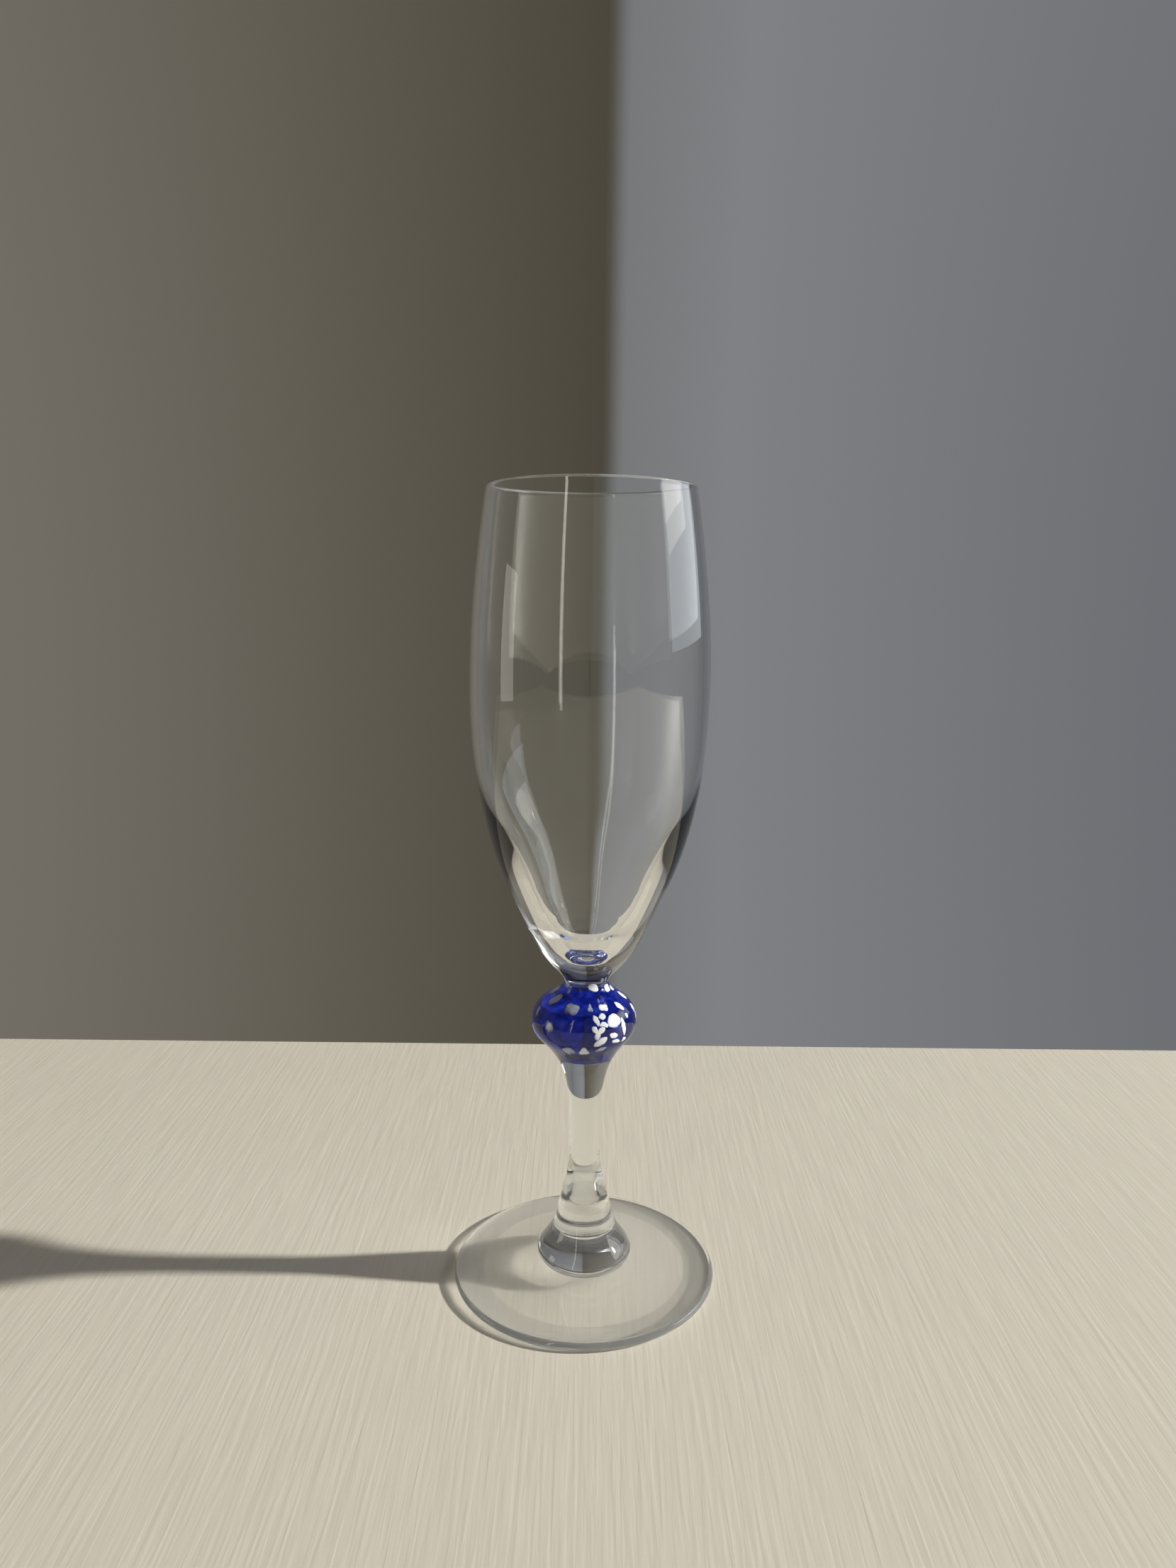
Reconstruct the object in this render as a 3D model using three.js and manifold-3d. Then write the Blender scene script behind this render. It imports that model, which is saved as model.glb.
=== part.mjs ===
// A hand-finished champagne flute: a clear tulip bowl, a cobalt knop with flecks of white glass,
// a clear drawn stem and a round foot. Millimetres, +Z up, with the origin at the centre of the
// circle that the foot rests on.
import * as THREE from "three";
import { mergeVertices } from "three/addons/utils/BufferGeometryUtils.js";
import Module from "manifold-3d";

// Driving dimensions. Every outline point below is written as (radius, height).
const HEIGHT = 200;
const LIP_RADIUS = 24.75;
const LIP_WALL = 1.15;
const BOWL_RADIUS = 28.87;
const BOWL_WIDEST = 154.5;
const BOWL_WALL = 1.8;
const CONE_TOP = 105;
const CAVITY_FLOOR = 87;
const BOWL_END = 81.4;
const NECK_RADIUS = 5.6;
const NECK_HEIGHT = 79.4;
const KNOP_RADIUS = 13.2;
const KNOP_BELLY = 69;
const COBALT_END = 60;
const CASING_WALL = 1.8;
const CASING_NECK_TOP = 83;
const CASING_NECK_RADIUS = 4.6;
const CORE_NECK_RADIUS = 2.6;
const CHIP_DEPTH = 0.85;
const STEM_RADIUS = 3.9;
const STEM_WAIST = 42;
const BUTTON_RADIUS = 12.15;
const BUTTON_HEIGHT = 6.8;
const BUTTON_BASE = 4;
const FOOT_RADIUS = 33.75;
const FOOT_EDGE = 2.2;
const FOOT_ARCH = 1.4;
const GAP = 0.3;

// How finely each piece is faceted.
const BOWL_SIDES = 48;
const FOOT_SIDES = 56;
const KNOP_SIDES = 40;
const CORE_SIDES = 24;
const STEM_SIDES = 28;
const CHIP_SIDES = 12;

const clearGlass = { color: 0xeef4f3, roughness: 0.03, metalness: 0 };
const cobaltGlass = { color: 0x10149a, roughness: 0.05, metalness: 0 };
const whiteGlass = { color: 0xeceef2, roughness: 0.22, metalness: 0 };
const lilacGlass = { color: 0x9297c4, roughness: 0.18, metalness: 0 };

const glass = new THREE.Group();

function place(name, geometry, look) {
  const mesh = new THREE.Mesh(geometry, new THREE.MeshStandardMaterial(look));
  mesh.name = name;
  glass.add(mesh);
}

function at(radius, height) {
  return new THREE.Vector2(radius, height);
}

function bend(from, leave, arrive, to) {
  return new THREE.CubicBezierCurve(from, leave, arrive, to);
}

// A round edge: an arc about (radius, height) from one angle to another, in degrees from outwards.
function roundEdge(radius, height, size, fromDegrees, toDegrees, steps) {
  return Array.from({ length: steps + 1 }, (_, i) => {
    const angle = THREE.MathUtils.degToRad(fromDegrees + ((toDegrees - fromDegrees) * i) / steps);
    return at(radius + size * Math.cos(angle), height + size * Math.sin(angle));
  });
}

// An outline turned about the vertical axis. It runs up the outside, anticlockwise.
function turn(outline, sides) {
  const geometry = new THREE.LatheGeometry(outline, sides);
  geometry.rotateX(Math.PI / 2);
  return geometry;
}

// The outline downwards: the foot of the bowl narrows to the neck, the knop swells over its
// shoulder to its belly, and its tail runs on into the stem.
const neckCurve = bend(at(12.2, 88), at(9.6, 83.8), at(NECK_RADIUS, 81), at(NECK_RADIUS, NECK_HEIGHT));
const shoulderCurve = bend(
  at(NECK_RADIUS, NECK_HEIGHT),
  at(NECK_RADIUS, 75.9),
  at(KNOP_RADIUS, 75.9),
  at(KNOP_RADIUS, KNOP_BELLY),
);
const tailCurve = bend(
  at(KNOP_RADIUS, KNOP_BELLY),
  at(KNOP_RADIUS, 62.6),
  at(STEM_RADIUS, 64),
  at(STEM_RADIUS, STEM_WAIST),
);

// Where a falling curve passes a height, as the curve's own parameter.
function passes(curve, height) {
  let above = 0;
  let below = 1;
  for (let i = 0; i < 40; i++) {
    const middle = (above + below) / 2;
    if (curve.getPoint(middle).y > height) above = middle;
    else below = middle;
  }
  return (above + below) / 2;
}

function stretch(curve, fromParameter, toParameter, steps) {
  return Array.from({ length: steps + 1 }, (_, i) =>
    curve.getPoint(fromParameter + ((toParameter - fromParameter) * i) / steps),
  );
}

const collarStart = passes(neckCurve, BOWL_END - GAP);
const tailEnd = passes(tailCurve, COBALT_END);

// The knop's surface as stations along its outline, each with its inward normal and the length
// of outline before it, so that a chip can be laid on it by arc length.
const stations = [];
for (const [curve, start, end] of [
  [neckCurve, collarStart, 1],
  [shoulderCurve, 0, 1],
  [tailCurve, 0, tailEnd],
]) {
  for (let i = 0; i <= 40; i++) {
    const parameter = start + ((end - start) * i) / 40;
    const point = curve.getPoint(parameter);
    const run = curve.getTangent(parameter);
    const last = stations.at(-1);
    const length = last ? last.length + point.distanceTo(last.point) : 0;
    stations.push({ point, inward: at(run.y, -run.x), length });
  }
}

function lengthAt(height) {
  return stations.find((station) => station.point.y <= height).length;
}

// The point of the knop's outline a given length along it and a given depth under the surface.
function underSurface(length, depth) {
  const limit = stations.length - 1;
  const next = stations.findIndex((station) => station.length >= length);
  const high = next < 0 ? limit : Math.max(next, 1);
  const a = stations[high - 1];
  const b = stations[high];
  const part = (length - a.length) / Math.max(b.length - a.length, 1e-6);
  const point = a.point.clone().lerp(b.point, part);
  const inward = a.inward.clone().lerp(b.inward, part).normalize();
  return point.addScaledVector(inward, depth);
}

// The wall's inner outline at a depth, downwards from the neck, cut off level at a floor height.
function innerOutline(depth, floor, steps) {
  const whole = stations.at(-1).length;
  const points = Array.from({ length: steps + 1 }, (_, i) => underSurface((whole * i) / steps, depth));
  const kept = points.filter((point) => point.y < NECK_HEIGHT && point.y > floor + GAP);
  const end = kept.at(-1);
  kept.push(at(end.x - (end.y - floor) * 0.5, floor));
  return kept;
}

function bowl() {
  const bead = LIP_WALL / 2;
  const insideLip = LIP_RADIUS - LIP_WALL;
  const insideWidest = BOWL_RADIUS - BOWL_WALL;
  const cone = bend(at(12.2, 88), at(14.4, 92.2), at(17.6, 99.5), at(20.12, CONE_TOP));
  const belly = bend(
    at(20.12, CONE_TOP),
    at(28.75, 123.4),
    at(BOWL_RADIUS, 148),
    at(BOWL_RADIUS, BOWL_WIDEST),
  );
  const upper = bend(
    at(BOWL_RADIUS, BOWL_WIDEST),
    at(BOWL_RADIUS, 172),
    at(26, 192),
    at(LIP_RADIUS, HEIGHT - bead),
  );
  const inUpper = bend(
    at(insideLip, HEIGHT - bead),
    at(24.8, 192),
    at(insideWidest, 172),
    at(insideWidest, BOWL_WIDEST),
  );
  const inBelly = bend(
    at(insideWidest, BOWL_WIDEST),
    at(insideWidest, 142.5),
    at(26.5, 131.6),
    at(23.9, 123.7),
  );
  const inCone = bend(at(23.9, 123.7), at(22.3, 118.7), at(18.9, 111.8), at(15.7, 105.8));
  const inFunnel = bend(at(15.7, 105.8), at(13.4, 101.6), at(11.3, 97.2), at(9.2, 94.4));
  const well = bend(at(9.2, 94.4), at(7.4, 92), at(5.8, CAVITY_FLOOR), at(0, CAVITY_FLOOR));
  const socket = CASING_NECK_RADIUS + GAP;
  const outline = [
    at(0, CASING_NECK_TOP + GAP),
    at(socket, CASING_NECK_TOP + GAP),
    at(socket, BOWL_END),
    ...stretch(neckCurve, passes(neckCurve, BOWL_END), 0, 5),
    ...cone.getPoints(3).slice(1),
    ...belly.getPoints(7).slice(1),
    ...upper.getPoints(6).slice(1, -1),
    ...roundEdge(LIP_RADIUS - bead, HEIGHT - bead, bead, 0, 180, 4),
    ...inUpper.getPoints(6).slice(1),
    ...inBelly.getPoints(6).slice(1),
    ...inCone.getPoints(4).slice(1),
    ...inFunnel.getPoints(3).slice(1),
    ...well.getPoints(5).slice(1),
  ];
  place("bowl", turn(outline, BOWL_SIDES), clearGlass);
}

function knopCore() {
  const outline = [
    at(0, COBALT_END + GAP / 2),
    ...innerOutline(CASING_WALL + GAP, COBALT_END + GAP / 2, 14).reverse(),
    at(CORE_NECK_RADIUS, CASING_NECK_TOP),
    at(0, CASING_NECK_TOP),
  ];
  place("knop_core", turn(outline, CORE_SIDES), clearGlass);
}

// A fleck's outline: its reach in each direction, as a share of its half width or half length.
const oval = () => 1;
const squared = (angle) => 1.06 - 0.12 * Math.cos(4 * angle);
const wedge = (angle) => 0.9 - 0.2 * Math.sin(3 * angle);
const star = (angle) => 0.72 - 0.34 * Math.sin(3 * angle);
const petal = (angle) => 0.92 + 0.14 * Math.sin(angle) - 0.08 * Math.cos(2 * angle);

// Each fleck by its azimuth in degrees (0 faces -Y, 90 faces +X), height, width around the knop,
// length along its outline, lean in degrees and outline. The white ones gather on the right.
const whiteFlecks = [
  [18, 79.2, 2.7, 1.8, -30, oval],
  [62, 78.4, 2.0, 1.8, 0, squared],
  [83, 77.5, 1.8, 1.6, 0, petal],
  [88, 75.6, 2.3, 3.0, 0, petal],
  [83, 73.0, 1.6, 2.5, 0, oval],
  [87, 70.5, 1.2, 2.0, 0, oval],
  [27.5, 75.3, 2.3, 1.9, -6, squared],
  [55.5, 74.8, 1.9, 3.0, 25, petal],
  [58, 72.6, 1.0, 1.5, 0, petal],
  [14.2, 73.2, 1.1, 3.0, 24, oval],
  [22.2, 73.7, 2.1, 1.5, 0, petal],
  [22.6, 72.1, 2.4, 1.3, -10, wedge],
  [16, 70.6, 3.9, 3.6, 52, star],
  [36.5, 72.4, 3.8, 3.4, 0, oval],
  [48.8, 70.6, 1.1, 4.6, 6, oval],
  [34.5, 69.3, 2.4, 1.3, -14, oval],
  [38, 67.4, 2.6, 1.0, -16, oval],
  [50, 67.2, 1.6, 1.3, 25, wedge],
  [19.3, 67.8, 4.4, 1.8, 35, petal],
  [0.5, 65.0, 2.5, 3.2, 0, wedge],
];
const lilacFlecks = [
  [-19.5, 75.1, 3.6, 3.0, -6, squared],
  [-57, 75.7, 3.2, 4.2, -14, petal],
  [-92, 76.6, 3.4, 3.6, 0, oval],
  [-58, 79.3, 2.2, 1.8, 0, oval],
  [-42, 78.0, 0.9, 1.6, 0, oval],
  [-40, 70.5, 2.9, 2.2, 0, petal],
  [-70, 72.8, 1.0, 2.8, 20, oval],
  [7.2, 75.3, 1.2, 2.5, 0, wedge],
  [20, 65.5, 3.0, 1.4, 20, oval],
  [-18.5, 65.0, 3.0, 2.8, 25, squared],
];

// The far side carries a looser scatter: alternately high and low, narrow and broad.
const FAR_FLECKS = 9;
for (let i = 0; i < FAR_FLECKS; i++) {
  const high = i % 2 === 0;
  const azimuth = 122 + i * 14.5;
  const height = (high ? 73.8 : 67.6) - (i % 3) * 1.1;
  const width = 2.6 + (i % 3) * 0.7;
  const length = 3.8 - (i % 3) * 0.6;
  const outline = [petal, wedge, squared][i % 3];
  const fleck = [azimuth, height, width, length, (i * 37) % 50, outline];
  (i % 4 === 3 ? lilacFlecks : whiteFlecks).push(fleck);
}

// A fleck, or with grow above zero the cutter for its pocket. It is a plate that follows the
// knop's surface from one depth to another, star-shaped about its own middle.
function fleckPlate([azimuth, height, width, length, lean, outline], top, base, grow) {
  const middle = lengthAt(height);
  const lay = (across, along, depth) => {
    const point = underSurface(middle + along, depth);
    const turnBy = THREE.MathUtils.degToRad(azimuth) + across / underSurface(middle, 0).x;
    return [point.x * Math.sin(turnBy), -point.x * Math.cos(turnBy), point.y];
  };
  const leanBy = THREE.MathUtils.degToRad(lean);
  const ring = (share, depth) =>
    Array.from({ length: CHIP_SIDES }, (_, i) => {
      const angle = (i / CHIP_SIDES) * 2 * Math.PI;
      const reach = outline(angle) * share;
      const across = (width / 2) * reach * Math.cos(angle) + grow * Math.cos(angle);
      const up = (length / 2) * reach * Math.sin(angle) + grow * Math.sin(angle);
      const x = across * Math.cos(leanBy) - up * Math.sin(leanBy);
      const y = across * Math.sin(leanBy) + up * Math.cos(leanBy);
      return lay(x, -y, depth);
    });
  const rings = [ring(1, top), ring(grow > 0 ? 1 : 0.86, base)];
  const corners = [lay(0, 0, top), ...rings.flat(), lay(0, 0, base)];
  const faces = [];
  const foot = corners.length - 1;
  for (let i = 0; i < CHIP_SIDES; i++) {
    const here = 1 + i;
    const next = 1 + ((i + 1) % CHIP_SIDES);
    faces.push(0, here, next);
    faces.push(here, here + CHIP_SIDES, next + CHIP_SIDES);
    faces.push(here, next + CHIP_SIDES, next);
    faces.push(foot, next + CHIP_SIDES, here + CHIP_SIDES);
  }
  const geometry = new THREE.BufferGeometry();
  geometry.setAttribute("position", new THREE.Float32BufferAttribute(corners.flat(), 3));
  geometry.setIndex(faces);
  return geometry;
}

const wasm = await Module();
wasm.setup();

function toSolid(geometry) {
  const bare = geometry.clone();
  bare.deleteAttribute("normal");
  bare.deleteAttribute("uv");
  const merged = mergeVertices(bare, 1e-4);
  const vertProperties = merged.attributes.position.array;
  const triVerts = new Uint32Array(merged.index.array);
  return new wasm.Manifold(new wasm.Mesh({ numProp: 3, vertProperties, triVerts }));
}

function toGeometry(solid) {
  const mesh = solid.getMesh();
  const geometry = new THREE.BufferGeometry();
  geometry.setAttribute("position", new THREE.Float32BufferAttribute(mesh.vertProperties, 3));
  geometry.setIndex(Array.from(mesh.triVerts));
  return geometry;
}

// The cobalt layer over the clear core: a shell open at its neck and its tail, with a pocket
// for each fleck.
function cobaltCasing() {
  const floor = COBALT_END + GAP / 2;
  const outside = [
    ...stretch(tailCurve, passes(tailCurve, floor), 0, 8),
    ...shoulderCurve.getPoints(8).reverse().slice(1),
    ...stretch(neckCurve, 1, collarStart, 2).slice(1),
    at(CASING_NECK_RADIUS, BOWL_END - GAP),
    at(CASING_NECK_RADIUS, CASING_NECK_TOP),
    at(CORE_NECK_RADIUS + GAP, CASING_NECK_TOP),
  ];
  const inside = innerOutline(CASING_WALL, floor, 14);
  const outline = [...outside, ...inside, outside[0]];
  let casing = toSolid(turn(outline, KNOP_SIDES));
  for (const fleck of [...whiteFlecks, ...lilacFlecks]) {
    const pocket = fleckPlate(fleck, -1, CHIP_DEPTH + GAP, GAP);
    casing = casing.subtract(toSolid(pocket));
  }
  place("cobalt_casing", toGeometry(casing), cobaltGlass);
}

function flecks(list, name, look) {
  list.forEach((fleck, i) => {
    const number = String(i + 1).padStart(2, "0");
    place(`${name}_${number}`, fleckPlate(fleck, 0, CHIP_DEPTH, 0), look);
  });
}

function stem() {
  const top = COBALT_END - GAP / 2;
  const under = bend(
    at(9.8, BUTTON_BASE),
    at(11.4, 4.2),
    at(BUTTON_RADIUS, 5.4),
    at(BUTTON_RADIUS, BUTTON_HEIGHT),
  );
  const flare = bend(at(BUTTON_RADIUS, BUTTON_HEIGHT), at(11.9, 8.9), at(7.9, 11.4), at(7.1, 17));
  const rise = bend(at(7.1, 17), at(6, 22.3), at(STEM_RADIUS, 28.8), at(STEM_RADIUS, 33));
  const outline = [
    at(0, BUTTON_BASE),
    ...under.getPoints(4),
    ...flare.getPoints(5).slice(1),
    ...rise.getPoints(5).slice(1),
    ...stretch(tailCurve, 1, passes(tailCurve, top), 8),
    at(0, top),
  ];
  place("stem", turn(outline, STEM_SIDES), clearGlass);
}

function foot() {
  const edge = FOOT_EDGE / 2;
  const rim = FOOT_RADIUS - edge;
  const arch = bend(at(0, FOOT_ARCH), at(12, FOOT_ARCH), at(20, 0.2), at(26, 0));
  const slope = bend(at(rim, FOOT_EDGE), at(26, 2.7), at(19, 2.9), at(13.2, BUTTON_BASE - GAP));
  const outline = [
    ...arch.getPoints(4),
    ...roundEdge(rim, edge, edge, -90, 90, 6),
    ...slope.getPoints(4).slice(1),
    at(0, BUTTON_BASE - GAP),
  ];
  place("foot", turn(outline, FOOT_SIDES), clearGlass);
}

bowl();
knopCore();
cobaltCasing();
flecks(whiteFlecks, "white_fleck", whiteGlass);
flecks(lilacFlecks, "lilac_fleck", lilacGlass);
stem();
foot();

export default glass;
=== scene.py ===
"""A hand-finished champagne flute: clear tulip bowl, flecked cobalt knop, drawn stem, round foot.

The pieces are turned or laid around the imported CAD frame, in metres. Where two pieces of glass are
fused, both faces carry a neutral material, so light passes from one to the other unbent.
"""

import math
import random

import bpy
from mathutils import Matrix, Vector


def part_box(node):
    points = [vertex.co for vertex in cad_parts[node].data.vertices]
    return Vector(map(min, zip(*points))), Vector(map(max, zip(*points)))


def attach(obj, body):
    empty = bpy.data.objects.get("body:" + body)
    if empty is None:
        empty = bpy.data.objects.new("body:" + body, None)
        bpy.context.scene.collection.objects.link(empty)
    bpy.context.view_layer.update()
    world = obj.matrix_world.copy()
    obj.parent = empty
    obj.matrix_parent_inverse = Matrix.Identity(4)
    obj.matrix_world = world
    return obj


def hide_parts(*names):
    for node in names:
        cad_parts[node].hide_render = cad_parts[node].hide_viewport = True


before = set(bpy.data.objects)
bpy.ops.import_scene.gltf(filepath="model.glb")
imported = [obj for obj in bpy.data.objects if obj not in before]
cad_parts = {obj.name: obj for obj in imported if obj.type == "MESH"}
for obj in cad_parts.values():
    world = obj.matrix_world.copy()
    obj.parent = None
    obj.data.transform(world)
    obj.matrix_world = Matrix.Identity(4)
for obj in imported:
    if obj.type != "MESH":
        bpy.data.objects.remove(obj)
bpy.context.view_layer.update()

MM = 0.001

# ---------------------------------------------------------------- places taken from the frame
bowl_low, bowl_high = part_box("bowl")
casing_low, casing_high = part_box("cobalt_casing")
stem_low, stem_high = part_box("stem")
foot_low, foot_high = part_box("foot")

LIP_TOP = bowl_high.z
BOWL_RADIUS = (bowl_high.x - bowl_low.x) / 2
KNOP_RADIUS = (casing_high.x - casing_low.x) / 2
BUTTON_RADIUS = (stem_high.x - stem_low.x) / 2
FOOT_RADIUS = (foot_high.x - foot_low.x) / 2 - 0.03 * MM
BOWL_JOINT = bowl_low.z - 0.15 * MM
TAIL_JOINT = (casing_low.z + stem_high.z) / 2
FOOT_JOINT = (stem_low.z + foot_high.z) / 2
NECK_TOP = casing_high.z + 0.15 * MM

# Sizes of the outline that no box gives.
LIP_RADIUS = 24.75 * MM
LIP_WALL = 1.15 * MM
BOWL_WALL = 1.8 * MM
BOWL_WIDEST = 154.5 * MM
CONE_TOP = 105 * MM
CAVITY_FLOOR = 87 * MM
NECK_RADIUS = 5.6 * MM
NECK_HEIGHT = 79.4 * MM
COBALT_TOP = 79.6 * MM
SOCKET_RADIUS = 4.75 * MM
CORE_NECK_RADIUS = 2.75 * MM
CASING_WALL = 1.95 * MM
KNOP_BELLY = 69 * MM
STEM_RADIUS = 3.9 * MM
STEM_WAIST = 42 * MM
FOOT_EDGE = 2.2 * MM
FOOT_ARCH = 1.4 * MM
BUTTON_HEIGHT = 6.8 * MM

SIDES = 192


# ---------------------------------------------------------------- outlines
def mm(radius, height):
    return Vector((radius * MM, height * MM))


def bend(start, leave, arrive, end, steps):
    """Points of a cubic curve between two (radius, height) points."""
    points = []
    for i in range(steps + 1):
        t = i / steps
        s = 1 - t
        points.append(start * s**3 + leave * (3 * s * s * t) + arrive * (3 * s * t * t) + end * t**3)
    return points


def round_edge(radius, height, size, start, end, steps):
    """Points of an arc about (radius, height), from one angle to another in degrees from outwards."""
    points = []
    for i in range(steps + 1):
        angle = math.radians(start + (end - start) * i / steps)
        points.append(Vector((radius + size * math.cos(angle), height + size * math.sin(angle))))
    return points


def ease(value):
    value = min(max(value, 0.0), 1.0)
    return value * value * (3 - 2 * value)


# ---------------------------------------------------------------- the marks of hand work
SWAY_KNOP = 0.7 * MM
SWAY_STEM = 0.12 * MM


def sway(height):
    """How far the glass leans off its axis at a height. The knop sits a little to one side."""
    knop = math.exp(-(((height - KNOP_BELLY) / (8 * MM)) ** 2))
    stem = ease((height - 8 * MM) / (14 * MM)) * ease((KNOP_BELLY - height) / (12 * MM))
    return -SWAY_KNOP * knop - SWAY_STEM * stem


def waver(azimuth, height, amount, phase):
    """The slight unevenness of blown glass: slow waves round the glass that drift with height."""
    waves = ((2, 1.0, 9), (3, 0.55, -14), (5, 0.3, 23), (9, 0.16, -31), (16, 0.09, 44), (27, 0.05, -52))
    total = 0.0
    for count, size, drift in waves:
        total += size * math.sin(count * azimuth + drift * height * 2 + phase * (1 + 0.37 * count))
    return total * amount


def at(radius, height, azimuth, amount=0.0, phase=0.0):
    """A point of a turned piece. Azimuth 0 faces -Y and a quarter turn faces +X."""
    near_axis = min(radius / (2 * MM), 1.0)
    radius += waver(azimuth, height, amount, phase) * near_axis
    x = radius * math.sin(azimuth) + sway(height)
    return Vector((x, -radius * math.cos(azimuth), height))


# ---------------------------------------------------------------- meshes
def mesh_piece(name, verts, faces, slots, materials):
    """A smooth mesh object. slots gives each face's material, by its number in materials."""
    mesh = bpy.data.meshes.new(name)
    mesh.from_pydata(verts, [], faces)
    for material in materials:
        mesh.materials.append(material)
    for polygon, slot in zip(mesh.polygons, slots):
        polygon.material_index = slot
        polygon.use_smooth = True
    mesh.validate()
    mesh.update()
    piece = bpy.data.objects.new(name, mesh)
    bpy.context.scene.collection.objects.link(piece)
    return piece


def turned(name, strips, materials, amount=0.0, phase=0.0, sides=SIDES, crease=35):
    """A closed outline turned about the axis. strips are (points, material number), each strip
    starting where the last one ended; the outline starts and ends on the axis, or closes."""
    outline = []
    strip_slots = []
    for points, slot in strips:
        for point in points:
            if outline and (point - outline[-1]).length < 1e-7:
                continue
            if outline:
                strip_slots.append(slot)
            outline.append(point)
    ring = (outline[0] - outline[-1]).length < 1e-7
    if ring:
        outline.pop()
    verts = []
    rows = []
    for point in outline:
        if point.x < 1e-7:
            rows.append([len(verts)] * sides)
            verts.append(at(0, point.y, 0))
            continue
        rows.append(list(range(len(verts), len(verts) + sides)))
        for i in range(sides):
            verts.append(at(point.x, point.y, 2 * math.pi * i / sides, amount, phase))
    faces = []
    slots = []
    for row, slot in enumerate(strip_slots):
        lower, upper = rows[row], rows[(row + 1) % len(rows)]
        for i in range(sides):
            j = (i + 1) % sides
            corners = [lower[i], lower[j], upper[j], upper[i]]
            face = list(dict.fromkeys(corners))
            if len(face) > 2:
                faces.append(face)
                slots.append(slot)
    piece = mesh_piece(name, verts, faces, slots, materials)
    piece.data.set_sharp_from_angle(angle=math.radians(crease))
    return piece


# ---------------------------------------------------------------- materials
def new_material(name):
    material = bpy.data.materials.new(name)
    material.use_nodes = True
    tree = material.node_tree
    tree.nodes.clear()
    output = tree.nodes.new("ShaderNodeOutputMaterial")
    return material, tree, output


def node(tree, kind, **settings):
    made = tree.nodes.new(kind)
    for key, value in settings.items():
        setattr(made, key, value)
    return made


def noise(tree, scale, detail=3.0, stretch=(1, 1, 1), distortion=0.0):
    """Noise in the piece's own metres; scale is in features per metre."""
    where = node(tree, "ShaderNodeTexCoord")
    mapping = node(tree, "ShaderNodeMapping")
    mapping.inputs["Scale"].default_value = stretch
    tree.links.new(where.outputs["Object"], mapping.inputs["Vector"])
    made = node(tree, "ShaderNodeTexNoise")
    made.inputs["Scale"].default_value = scale
    made.inputs["Detail"].default_value = detail
    made.inputs["Distortion"].default_value = distortion
    tree.links.new(mapping.outputs["Vector"], made.inputs["Vector"])
    return made.outputs["Fac"]


def ramp(tree, value, stops):
    made = node(tree, "ShaderNodeValToRGB")
    elements = made.color_ramp.elements
    while len(elements) < len(stops):
        elements.new(0.5)
    for element, (position, colour) in zip(elements, stops):
        element.position = position
        element.color = (*colour, 1)
    tree.links.new(value, made.inputs["Fac"])
    return made.outputs["Color"]


def spread(tree, value, low, high, start=0.3, end=0.7):
    """A pattern's value carried from start..end to low..high."""
    made = node(tree, "ShaderNodeMapRange")
    made.inputs["From Min"].default_value = start
    made.inputs["From Max"].default_value = end
    made.inputs["To Min"].default_value = low
    made.inputs["To Max"].default_value = high
    tree.links.new(value, made.inputs["Value"])
    return made.outputs["Result"]


def add(tree, one, other):
    made = node(tree, "ShaderNodeMath", operation="ADD")
    tree.links.new(one, made.inputs[0])
    tree.links.new(other, made.inputs[1])
    return made.outputs[0]


def bump(tree, value, strength, distance):
    made = node(tree, "ShaderNodeBump")
    made.inputs["Strength"].default_value = strength
    made.inputs["Distance"].default_value = distance
    tree.links.new(value, made.inputs["Height"])
    return made.outputs["Normal"]


def shine(tree, output, **values):
    shader = node(tree, "ShaderNodeBsdfPrincipled")
    for key, value in values.items():
        shader.inputs[key.replace("_", " ")].default_value = value
    tree.links.new(shader.outputs["BSDF"], output.inputs["Surface"])
    return shader


CLEAR_TINT = (0.985, 0.995, 0.992)
STREAK_TINT = tuple(c * 0.985 for c in CLEAR_TINT)
SMUDGE = 0.03


def clear_glass(name, ripple=0.02, haze=0.0, edge_glow=0.0, lets_light=0.0):
    """Clear glass, a little smudged. haze is the share of light it scatters, and edge_glow the
    pale line along its outline. lets_light is the share of a lamp's light one face passes on to
    what is behind it; at 0 the face throws a full shadow."""
    material, tree, output = new_material(name)
    shader = shine(
        tree,
        output,
        Transmission_Weight=1.0 - haze,
        IOR=1.51,
        Sheen_Weight=edge_glow,
        Sheen_Roughness=0.3,
        Sheen_Tint=(0.85, 0.92, 1.0, 1.0),
    )
    if lets_light:
        path = node(tree, "ShaderNodeLightPath")
        through = node(tree, "ShaderNodeBsdfTransparent")
        through.inputs["Color"].default_value = (lets_light, lets_light, lets_light, 1)
        choice = node(tree, "ShaderNodeMixShader")
        tree.links.new(path.outputs["Is Shadow Ray"], choice.inputs["Fac"])
        tree.links.new(shader.outputs["BSDF"], choice.inputs[1])
        tree.links.new(through.outputs["BSDF"], choice.inputs[2])
        tree.links.new(choice.outputs["Shader"], output.inputs["Surface"])
    streaks = noise(tree, 90, 4, (1, 1, 0.12))
    colour = ramp(tree, streaks, [(0.3, CLEAR_TINT), (0.75, STREAK_TINT)])
    tree.links.new(colour, shader.inputs["Base Color"])
    dust = noise(tree, 260, 6, (1, 1, 0.7))
    rough = spread(tree, dust, 0.0, SMUDGE, 0.5, 0.8)
    tree.links.new(rough, shader.inputs["Roughness"])
    draw = noise(tree, 110, 2, (1, 1, 0.1))
    tree.links.new(bump(tree, draw, ripple, 0.2 * MM), shader.inputs["Normal"])
    return material


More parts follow.
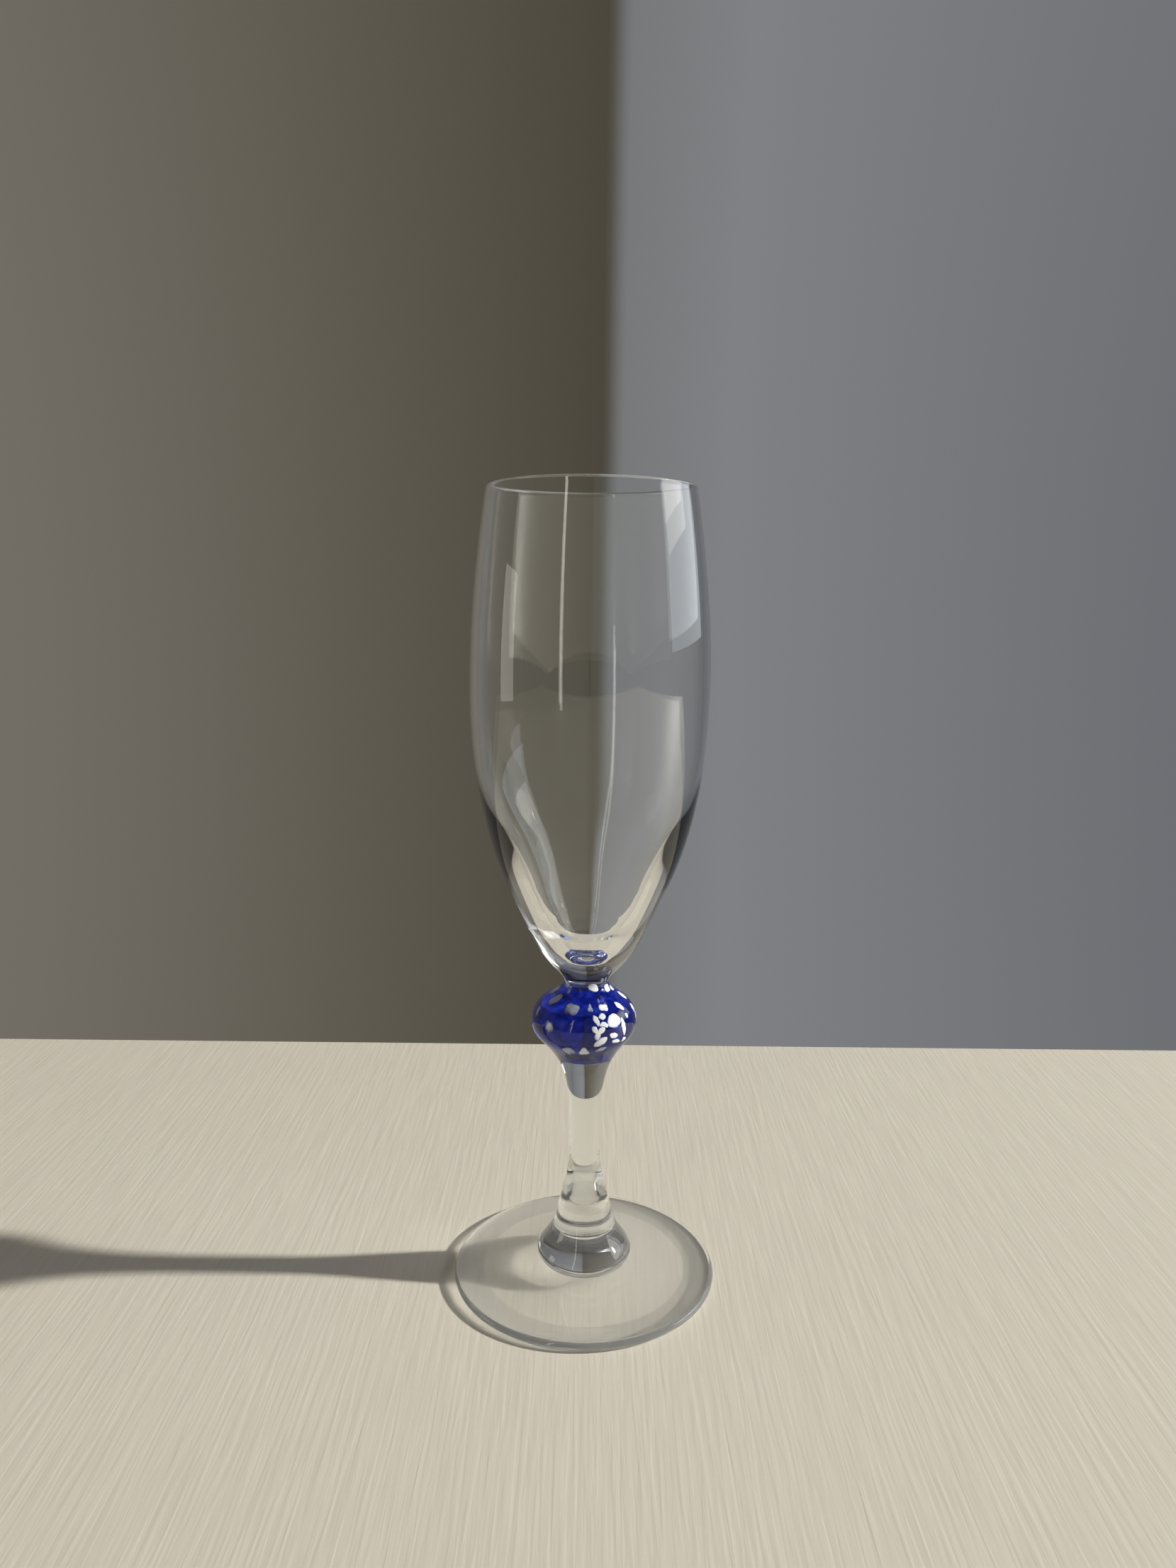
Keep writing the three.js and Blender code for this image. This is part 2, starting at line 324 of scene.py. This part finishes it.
def fused(name, tint=(1, 1, 1)):
    """The face where one piece of glass is melted into another: light passes it unbent."""
    material, tree, output = new_material(name)
    shader = node(tree, "ShaderNodeBsdfTransparent")
    shader.inputs["Color"].default_value = (*tint, 1)
    tree.links.new(shader.outputs["BSDF"], output.inputs["Surface"])
    return material


COBALT_DEEP = (0.002, 0.01, 0.26)
COBALT = (0.005, 0.022, 0.6)
COBALT_PALE = (0.03, 0.07, 0.78)
COBALT_THIN = (0.2, 0.24, 0.7)


def cobalt_glass():
    """Cobalt glass, uneven in depth: deepest in front and thin at the tail, with painted light making
    the left side a paler royal blue.
    """
    material, tree, output = new_material("cobalt_glass")
    shader = shine(tree, output, Transmission_Weight=0.88, IOR=1.52)
    where = node(tree, "ShaderNodeTexCoord")
    split = node(tree, "ShaderNodeSeparateXYZ")
    tree.links.new(where.outputs["Object"], split.inputs["Vector"])
    thin = spread(tree, split.outputs["Z"], 0.62, 0.0, TAIL_JOINT, TAIL_JOINT + 6 * MM)
    # painted light: the knop grows a paler royal blue towards its left side, and depth below carries
    # this along with the real depth
    left = spread(tree, split.outputs["X"], 0.2, -0.05, -13 * MM, 0.0)
    swirl = noise(tree, 210, 5, (1, 1, 0.7), 2.2)
    depth = add(tree, add(tree, spread(tree, swirl, 0.0, 0.62, 0.36, 0.66), thin), left)
    stops = [(0.1, COBALT_DEEP), (0.4, COBALT), (0.62, COBALT_PALE), (1.0, COBALT_THIN)]
    body = ramp(tree, depth, stops)
    tree.links.new(body, shader.inputs["Base Color"])
    marks = noise(tree, 420, 5)
    tree.links.new(spread(tree, marks, 0.01, 0.06, 0.4, 0.75), shader.inputs["Roughness"])
    dimples = noise(tree, 260, 3, (1, 1, 1), 0.8)
    tree.links.new(bump(tree, dimples, 0.35, 0.2 * MM), shader.inputs["Normal"])
    return material


def fleck_glass(name, stops):
    """Frit melted into the knop. The rim attribute runs from 0 in its middle to 1 in the blue, at its
    thin rim and, as painted shade, towards its lower side.
    """
    material, tree, output = new_material(name)
    shader = shine(tree, output, IOR=1.5, Coat_Weight=1.0, Coat_Roughness=0.04, Specular_IOR_Level=0.5)
    # The rim attribute carries the blue of the thin rim and painted shade on the lower side.
    rim = node(tree, "ShaderNodeAttribute", attribute_name="rim")
    cloud = noise(tree, 700, 4, (1, 1, 1), 0.6)
    mixed = add(tree, rim.outputs["Fac"], spread(tree, cloud, 0.0, 0.3, 0.35, 0.7))
    tree.links.new(ramp(tree, mixed, stops), shader.inputs["Base Color"])
    tree.links.new(spread(tree, cloud, 0.14, 0.34), shader.inputs["Roughness"])
    tree.links.new(bump(tree, cloud, 0.15, 0.1 * MM), shader.inputs["Normal"])
    return material


CLEAR = clear_glass("clear_glass", edge_glow=0.12)
STEM_CLEAR = clear_glass("stem_glass", ripple=0.09)
RIM_CLEAR = clear_glass("rim_glass", haze=0.09)
FOOT_CLEAR = clear_glass("foot_glass", ripple=0.05, haze=0.03, lets_light=0.48)
FUSED = fused("fused_clear")
FUSED_COBALT = fused("fused_cobalt", (0.04, 0.09, 0.7))
COBALT_GLASS = cobalt_glass()
WHITE_FLECK = fleck_glass(
    "white_fleck_glass",
    [
        (0.1, (0.72, 0.73, 0.75)),
        (0.45, (0.6, 0.64, 0.74)),
        (0.72, (0.22, 0.3, 0.66)),
        (1.0, (0.02, 0.05, 0.45)),
    ],
)
LILAC_FLECK = fleck_glass(
    "lilac_fleck_glass",
    [
        (0.05, (0.4, 0.42, 0.52)),
        (0.35, (0.2, 0.23, 0.42)),
        (0.6, (0.06, 0.09, 0.36)),
        (0.9, (0.006, 0.02, 0.34)),
    ],
)


# ---------------------------------------------------------------- bowl
def neck_curve(steps):
    """The foot of the bowl, falling to the neck."""
    return bend(mm(12.2, 88), mm(9.6, 83.8), mm(5.6, 81), Vector((NECK_RADIUS, NECK_HEIGHT)), steps)


def bowl_outside():
    """The bowl's outside from its joint with the knop up to the lip."""
    neck = neck_curve(40)
    points = [height_on(neck, BOWL_JOINT)] + [point for point in reversed(neck) if point.y > BOWL_JOINT]
    points += bend(mm(12.2, 88), mm(14.4, 92.2), mm(17.6, 99.5), Vector((20.12 * MM, CONE_TOP)), 14)
    points += bend(
        Vector((20.12 * MM, CONE_TOP)),
        mm(28.75, 123.4),
        Vector((BOWL_RADIUS, 148 * MM)),
        Vector((BOWL_RADIUS, BOWL_WIDEST)),
        30,
    )
    points += bend(
        Vector((BOWL_RADIUS, BOWL_WIDEST)),
        Vector((BOWL_RADIUS, 172 * MM)),
        mm(26, 192),
        Vector((LIP_RADIUS, LIP_TOP - LIP_WALL / 2)),
        26,
    )
    return points


def bowl_inside():
    """The bowl's inside from the lip down to the floor of its well."""
    widest = BOWL_RADIUS - BOWL_WALL
    points = bend(
        Vector((LIP_RADIUS - LIP_WALL, LIP_TOP - LIP_WALL / 2)),
        mm(24.8, 192),
        Vector((widest, 172 * MM)),
        Vector((widest, BOWL_WIDEST)),
        26,
    )
    points += bend(
        Vector((widest, BOWL_WIDEST)),
        Vector((widest, 142.5 * MM)),
        mm(26.5, 131.6),
        mm(23.9, 123.7),
        26,
    )
    points += bend(mm(23.9, 123.7), mm(22.3, 118.7), mm(18.9, 111.8), mm(15.7, 105.8), 20)
    points += bend(mm(15.7, 105.8), mm(13.4, 101.6), mm(11.3, 97.2), mm(9.2, 94.4), 16)
    points += bend(
        mm(9.2, 94.4), mm(7.4, 92), Vector((5.8 * MM, CAVITY_FLOOR)), Vector((0, CAVITY_FLOOR)), 28
    )
    return points


def make_bowl():
    lip = round_edge(LIP_RADIUS - LIP_WALL / 2, LIP_TOP - LIP_WALL / 2, LIP_WALL / 2, 0, 180, 14)
    outside = bowl_outside()
    socket = [
        Vector((0, NECK_TOP)),
        Vector((SOCKET_RADIUS, NECK_TOP)),
        Vector((SOCKET_RADIUS, BOWL_JOINT)),
        outside[0],
    ]
    strips = [(socket, 1), (outside, 0), (lip, 2), (bowl_inside(), 0)]
    piece = turned("bowl_glass", strips, [CLEAR, FUSED, RIM_CLEAR], 0.02 * MM, 1.3)
    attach(piece, "root")
    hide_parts("bowl")
    return piece


# ---------------------------------------------------------------- knop
def knop_outline(steps):
    """The knop's outside from its joint with the bowl to its tail, downwards."""
    neck = neck_curve(steps)
    collar = [height_on(neck, BOWL_JOINT)] + [point for point in neck if point.y < BOWL_JOINT]
    shoulder = bend(
        Vector((NECK_RADIUS, NECK_HEIGHT)),
        mm(5.6, 75.9),
        Vector((KNOP_RADIUS, 75.9 * MM)),
        Vector((KNOP_RADIUS, KNOP_BELLY)),
        steps,
    )
    tail = tail_curve(steps * 2)
    return collar + shoulder[1:] + [point for point in tail[1:] if point.y > TAIL_JOINT]


def tail_curve(steps):
    """The fall from the knop's belly into the stem's waist."""
    return bend(
        Vector((KNOP_RADIUS, KNOP_BELLY)),
        Vector((KNOP_RADIUS, 62.6 * MM)),
        Vector((STEM_RADIUS, 64 * MM)),
        Vector((STEM_RADIUS, STEM_WAIST)),
        steps,
    )


def height_on(points, height):
    """Where a falling outline passes a height."""
    for upper, lower in zip(points, points[1:]):
        if lower.y <= height:
            return upper.lerp(lower, (upper.y - height) / (upper.y - lower.y))
    return points[-1]


def outline_with_normals(points):
    """(point, inward normal, length so far) for each point of an outline that runs downwards."""
    rows = []
    length = 0.0
    for i, point in enumerate(points):
        ahead = points[min(i + 1, len(points) - 1)]
        behind = points[max(i - 1, 0)]
        run = (ahead - behind).normalized()
        if i:
            length += (point - points[i - 1]).length
        rows.append((point, Vector((run.y, -run.x)), length))
    return rows


KNOP_AMOUNT = 0.035 * MM
KNOP_PHASE = 2.1
KNOP_ROWS = outline_with_normals(knop_outline(60) + [height_on(tail_curve(120), TAIL_JOINT)])


def knop_layer(depth):
    """The knop's outline at a depth under its surface, ending level with its tail."""
    points = [point + inward * depth for point, inward, _ in KNOP_ROWS]
    points = [point for point in points if TAIL_JOINT + 0.1 * MM < point.y < NECK_HEIGHT]
    return points + [Vector((points[-1].x, TAIL_JOINT))]


def make_casing():
    outside = [point for point, _, _ in KNOP_ROWS][::-1]
    body = [point for point in outside if point.y < COBALT_TOP]
    collar = body[-1:] + [point for point in outside if point.y >= COBALT_TOP]
    neck = [
        outside[-1],
        Vector((SOCKET_RADIUS, BOWL_JOINT)),
        Vector((SOCKET_RADIUS, NECK_TOP)),
        Vector((CORE_NECK_RADIUS, NECK_TOP)),
    ]
    inside = knop_layer(CASING_WALL)
    tail = [inside[-1], outside[0]]
    strips = [(body, 0), (collar, 3), (neck, 2), (inside, 2), (tail, 1)]
    materials = [COBALT_GLASS, FUSED_COBALT, FUSED, CLEAR]
    piece = turned("cobalt_layer", strips, materials, KNOP_AMOUNT, KNOP_PHASE)
    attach(piece, "root")
    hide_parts("cobalt_casing")
    return piece


def make_core():
    side = knop_layer(CASING_WALL)[::-1]
    strips = [
        ([Vector((0, TAIL_JOINT)), side[0]], 0),
        (side, 0),
        ([side[-1], Vector((CORE_NECK_RADIUS, NECK_TOP)), Vector((0, NECK_TOP))], 0),
    ]
    piece = turned("clear_core", strips, [FUSED], KNOP_AMOUNT, KNOP_PHASE, 64)
    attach(piece, "root")
    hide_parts("knop_core")
    return piece


# ---------------------------------------------------------------- flecks
def knop_point(length, azimuth, depth):
    """A point a given length down the knop's outline, at an azimuth and a depth."""
    for (a, normal_a, length_a), (b, normal_b, length_b) in zip(KNOP_ROWS, KNOP_ROWS[1:]):
        if length_b >= length:
            break
    share = (length - length_a) / (length_b - length_a)
    point = a.lerp(b, share) + normal_a.lerp(normal_b, share).normalized() * depth
    return at(point.x, point.y, azimuth, KNOP_AMOUNT, KNOP_PHASE)


def laid(point):
    """(azimuth, length down the outline, depth) of a point on or under the CAD knop."""
    azimuth = math.atan2(point.x, -point.y)
    flat = Vector((math.hypot(point.x, point.y), point.z))
    on, inward, length = min(KNOP_ROWS, key=lambda row: (row[0] - flat).length)
    return azimuth, length, (flat - on).dot(inward)


FLECK_SIDES = 48
FLECK_PROUD = 0.05 * MM
FLECK_RIM_DEPTH = 0.16 * MM
FLECK_DEPTH = 0.7 * MM
FLECK_SPREAD = 1.12
# How much painted shade turns each fleck's lower side blue.
WHITE_LOWER_SHADE = 0.5
LILAC_LOWER_SHADE = 0.8
# Each ring of a fleck: its share of the way out, and whether it lies on the underside.
FLECK_ROWS = (
    (0.3, False),
    (0.6, False),
    (0.8, False),
    (0.9, False),
    (0.96, False),
    (1.0, False),
    (0.98, True),
    (0.85, True),
    (0.5, True),
)


def fleck_reach(node_name):
    """A fleck's middle on the knop and its outline, as reach by angle, from its CAD solid."""
    low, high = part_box(node_name)
    middle_azimuth, middle_length, _ = laid((low + high) / 2)
    around = knop_radius(middle_length)
    corners = {}
    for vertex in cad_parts[node_name].data.vertices:
        azimuth, length, depth = laid(vertex.co)
        turn = (azimuth - middle_azimuth + math.pi) % (2 * math.pi) - math.pi
        spot = Vector((turn * around, middle_length - length))
        if depth < 0.4 * MM and spot.length > 0.25 * MM:
            corners[round(math.atan2(spot.y, spot.x), 3)] = spot.length
    angles = sorted(corners)
    reaches = [corners[angle] for angle in angles]
    count = len(angles)

    def reach(angle):
        """The outline between the solid's corners, as a smooth curve through them."""
        angle = (angle - angles[0]) % (2 * math.pi) + angles[0]
        after = next((i for i, corner in enumerate(angles) if corner > angle), count)
        start = angles[after - 1]
        end = angles[after] if after < count else angles[0] + 2 * math.pi
        t = (angle - start) / (end - start)
        before, a, b, beyond = (reaches[(after + shift) % count] for shift in (-2, -1, 0, 1))
        rise, fall = (b - before) / 2, (beyond - a) / 2
        bulge = a * (2 * t**3 - 3 * t**2 + 1) + b * (3 * t**2 - 2 * t**3)
        return bulge + rise * (t**3 - 2 * t**2 + t) + fall * (t**3 - t**2)

    return middle_azimuth, middle_length, around, reach


def knop_radius(length):
    return min(KNOP_ROWS, key=lambda row: abs(row[2] - length))[0].x


def make_fleck(node_name, material, seed, lower_shade):
    """A melted chip: a low dome whose rim dips into the cobalt, over a rounded underside.
    The last argument is how much painted shade turns its lower side blue."""
    azimuth, length, around, reach = fleck_reach(node_name)
    draw = random.Random(seed)
    phases = [draw.uniform(0, 2 * math.pi) for _ in range(3)]
    # The side of the fleck that takes painted shade, turned downwards.
    shaded_side = math.radians(draw.uniform(-130, -60))
    verts = [knop_point(length, azimuth, -FLECK_PROUD)]
    rims_and_shade = [0.0]
    for share, under in FLECK_ROWS:
        if under:
            depth = FLECK_DEPTH * math.sqrt(max(1 - share**4, 0.02))
        else:
            depth = -FLECK_PROUD + (FLECK_RIM_DEPTH + FLECK_PROUD) * share**24
        for i in range(FLECK_SIDES):
            angle = 2 * math.pi * i / FLECK_SIDES
            melt = 1 + 0.03 * math.sin(3 * angle + phases[0]) + 0.025 * math.sin(5 * angle + phases[1])
            melt += 0.012 * math.sin(9 * angle + phases[2])
            size = reach(angle) * share * melt * FLECK_SPREAD
            across = size * math.cos(angle) / around
            verts.append(knop_point(length - size * math.sin(angle), azimuth + across, depth))
            # Bluer at the thin rim, and bluer still on the lower side as painted shade.
            rims_and_shade.append(0.62 * share**6 + lower_shade * share**2 * max(math.cos(angle - shaded_side), 0) ** 1.5)
    verts.append(knop_point(length, azimuth, FLECK_DEPTH))
    rims_and_shade.append(0.0)
    faces = []
    last = len(verts) - 1
    for i in range(FLECK_SIDES):
        j = (i + 1) % FLECK_SIDES
        faces.append((0, 1 + i, 1 + j))
        for ring in range(len(FLECK_ROWS) - 1):
            a = 1 + ring * FLECK_SIDES
            b = a + FLECK_SIDES
            faces.append((a + i, b + i, b + j, a + j))
        a = 1 + (len(FLECK_ROWS) - 1) * FLECK_SIDES
        faces.append((a + j, a + i, last))
    piece = mesh_piece("melted_" + node_name, verts, faces, [0] * len(faces), [material])
    rim = piece.data.attributes.new("rim", "FLOAT", "POINT")
    rim.data.foreach_set("value", rims_and_shade)
    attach(piece, "root")
    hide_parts(node_name)
    return piece


# ---------------------------------------------------------------- stem and foot
BUTTON_JOINT_RADIUS = 9.8 * MM
PAD_RADIUS = 13.2 * MM
PAD_DROP = 0.15 * MM


def make_stem():
    start = BUTTON_JOINT_RADIUS
    widest = Vector((BUTTON_RADIUS, BUTTON_HEIGHT))
    under = bend(Vector((start, FOOT_JOINT)), mm(11.4, 4.1), mm(12.15, 5.3), widest, 12)
    flare = bend(widest, mm(11.9, 8.9), mm(7.9, 11.4), mm(7.1, 17), 20)
    rise = bend(mm(7.1, 17), mm(6, 22.3), mm(3.9, 28.8), mm(3.9, 33), 22)
    tail = tail_curve(60)
    waist = [point for point in reversed(tail) if point.y < TAIL_JOINT]
    top = height_on(tail, TAIL_JOINT)
    strips = [
        ([Vector((0, FOOT_JOINT)), under[0]], 1),
        (under, 2),
        (flare, 2),
        (rise, 0),
        (waist + [top], 0),
        ([top, Vector((0, TAIL_JOINT))], 1),
    ]
    piece = turned("stem_glass", strips, [STEM_CLEAR, FUSED, FOOT_CLEAR], 0.02 * MM, 0.4)
    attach(piece, "root")
    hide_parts("stem")
    return piece


def make_foot():
    edge = FOOT_EDGE / 2
    rim = FOOT_RADIUS - edge
    arch = bend(Vector((0, FOOT_ARCH)), mm(12, 1.4), mm(20, 0.2), mm(26, 0), 26)
    side = round_edge(rim, edge, edge, -90, 90, 16)
    pad_edge = Vector((PAD_RADIUS, FOOT_JOINT - PAD_DROP))
    slope = bend(Vector((rim, FOOT_EDGE)), mm(26, 2.7), mm(19, 2.9), pad_edge, 30)
    pad = [
        pad_edge,
        Vector((12.2 * MM, FOOT_JOINT - 0.05 * MM)),
        Vector((BUTTON_JOINT_RADIUS, FOOT_JOINT)),
    ]
    seat = [pad[-1], Vector((0, FOOT_JOINT))]
    strips = [(arch, 0), (side, 2), (slope, 0), (pad, 0), (seat, 1)]
    piece = turned("foot_glass", strips, [FOOT_CLEAR, FUSED, RIM_CLEAR], 0.012 * MM, 2.7)
    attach(piece, "root")
    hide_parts("foot")
    return piece


# ---------------------------------------------------------------- studio
CAMERA_BACK = 267.5 * MM
CAMERA_UP = 174 * MM
CAMERA_PITCH = 9.5
CAMERA_ROLL = 0.58
LENS = 25.5
TABLE_BEHIND = 150 * MM
TABLE_GAP = 0.05 * MM


def make_camera():
    data = bpy.data.cameras.new("camera")
    data.lens = LENS
    data.sensor_width = 36
    data.clip_start = 0.01
    camera = bpy.data.objects.new("camera", data)
    bpy.context.scene.collection.objects.link(camera)
    place = Matrix.Translation((-0.2 * MM, -CAMERA_BACK, CAMERA_UP))
    pitch = Matrix.Rotation(math.radians(90 - CAMERA_PITCH), 4, "X")
    roll = Matrix.Rotation(math.radians(CAMERA_ROLL), 4, "Z")
    camera.matrix_world = place @ pitch @ roll
    bpy.context.scene.camera = camera


def make_table():
    """A plain pale table top, its far edge behind the glass."""
    material, tree, output = new_material("pale_table")
    shader = shine(tree, output, Roughness=0.6, Specular_IOR_Level=0.3)
    strokes = noise(tree, 800, 3, (1, 0.045, 1), 0.4)
    colour = ramp(tree, strokes, [(0.3, (0.61, 0.575, 0.5)), (0.7, (0.66, 0.625, 0.545))])
    tree.links.new(colour, shader.inputs["Base Color"])
    tree.links.new(bump(tree, strokes, 0.5, 0.15 * MM), shader.inputs["Normal"])
    wide, deep, thick, edge = 1.6, 1.6, 0.03, 0.002
    outline = [(-deep, -TABLE_GAP), (TABLE_BEHIND - edge, -TABLE_GAP)]
    for i in range(1, 9):
        angle = math.pi / 2 * i / 8
        drop = TABLE_GAP + edge - edge * math.cos(angle)
        outline.append((TABLE_BEHIND - edge + edge * math.sin(angle), -drop))
    outline += [(TABLE_BEHIND, -thick), (-deep, -thick)]
    count = len(outline)
    verts = [(x, y, z) for x in (-wide, wide) for y, z in outline]
    faces = [(i, (i + 1) % count, count + (i + 1) % count, count + i) for i in range(count)]
    faces += [tuple(range(count))[::-1], tuple(range(count, 2 * count))]
    table = mesh_piece("table", verts, faces, [0] * len(faces), [material])
    table.data.set_sharp_from_angle(angle=math.radians(30))


def make_world():
    """A plain grey studio, darker and warmer to the left, lighter and cooler to the right, with a
    dim ceiling."""
    world = bpy.data.worlds.new("studio")
    bpy.context.scene.world = world
    world.use_nodes = True
    tree = world.node_tree
    tree.nodes.clear()
    output = tree.nodes.new("ShaderNodeOutputWorld")
    background = tree.nodes.new("ShaderNodeBackground")
    where = tree.nodes.new("ShaderNodeTexCoord")
    split = tree.nodes.new("ShaderNodeSeparateXYZ")
    tree.links.new(where.outputs["Generated"], split.inputs["Vector"])
    side = spread(tree, split.outputs["X"], 0.0, 1.0, -0.6, 0.6)
    walls = ramp(
        tree,
        side,
        [
            (0.0, (0.18, 0.168, 0.145)),
            (0.13, (0.165, 0.154, 0.131)),
            (0.35, (0.11, 0.099, 0.076)),
            (0.51, (0.071, 0.063, 0.046)),
            (0.522, (0.187, 0.19, 0.196)),
            (0.6, (0.215, 0.22, 0.232)),
            (1.0, (0.13, 0.137, 0.15)),
        ],
    )
    front = spread(tree, split.outputs["Y"], 1.15, 1.0, -0.9, 0.1)
    overhead = spread(tree, split.outputs["Z"], 1.0, 0.3, 0.45, 0.75)
    shade = node(tree, "ShaderNodeMath", operation="MULTIPLY")
    tree.links.new(front, shade.inputs[0])
    tree.links.new(overhead, shade.inputs[1])
    tree.links.new(walls, background.inputs["Color"])
    tree.links.new(shade.outputs[0], background.inputs["Strength"])
    tree.links.new(background.outputs["Background"], output.inputs["Surface"])


def soft_light(name, place, target, size, power, colour):
    data = bpy.data.lights.new(name, "AREA")
    data.shape = "RECTANGLE"
    data.size, data.size_y = size
    data.energy = power
    data.color = colour
    light = bpy.data.objects.new(name, data)
    bpy.context.scene.collection.objects.link(light)
    light.location = place
    light.rotation_euler = (Vector(target) - Vector(place)).to_track_quat("-Z", "Y").to_euler()
    return light


def around(azimuth, distance, height):
    """A place round the glass. Azimuth 0 is on the camera's side and 90 is to the right."""
    angle = math.radians(azimuth)
    return (distance * math.sin(angle), -distance * math.cos(angle), height)


LAMP_AIM = (0, 0, 0.1)
WARM = (1.0, 0.965, 0.89)
# name, azimuth in degrees, distance and height in metres, width and height of the panel in metres,
# power in watts, colour, and whether glass shows it through
LAMPS = (
    ("key_spot", 90, 9, 3.9, (0.32, 0.32), 1700, WARM, True),
    ("key_softbox", 97, 5, 2.35, (2.8, 2.2), 40, WARM, True),
    ("window", 104, 1.1, 0.42, (1.0, 0.5), 2.6, (0.88, 0.94, 1.0), True),
    ("left_card", -82, 1.1, 0.2, (0.3, 0.35), 0.75, (1.0, 0.93, 0.8), False),
    ("thin_strip", -27, 1.1, 0.5, (0.05, 1.2), 0.7, (1.0, 0.94, 0.84), True),
)


def make_lights():
    for name, azimuth, distance, height, size, power, colour, shows_through in LAMPS:
        lamp = soft_light(name, around(azimuth, distance, height), LAMP_AIM, size, power, colour)
        lamp.visible_transmission = shows_through


make_camera()
make_table()
make_world()
make_lights()

make_bowl()
make_casing()
make_core()
for number, name in enumerate(sorted(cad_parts)):
    if name.startswith("white_fleck"):
        make_fleck(name, WHITE_FLECK, number, WHITE_LOWER_SHADE)
    elif name.startswith("lilac_fleck"):
        make_fleck(name, LILAC_FLECK, number, LILAC_LOWER_SHADE)
make_stem()
make_foot()

bpy.context.scene.view_settings.view_transform = "Standard"
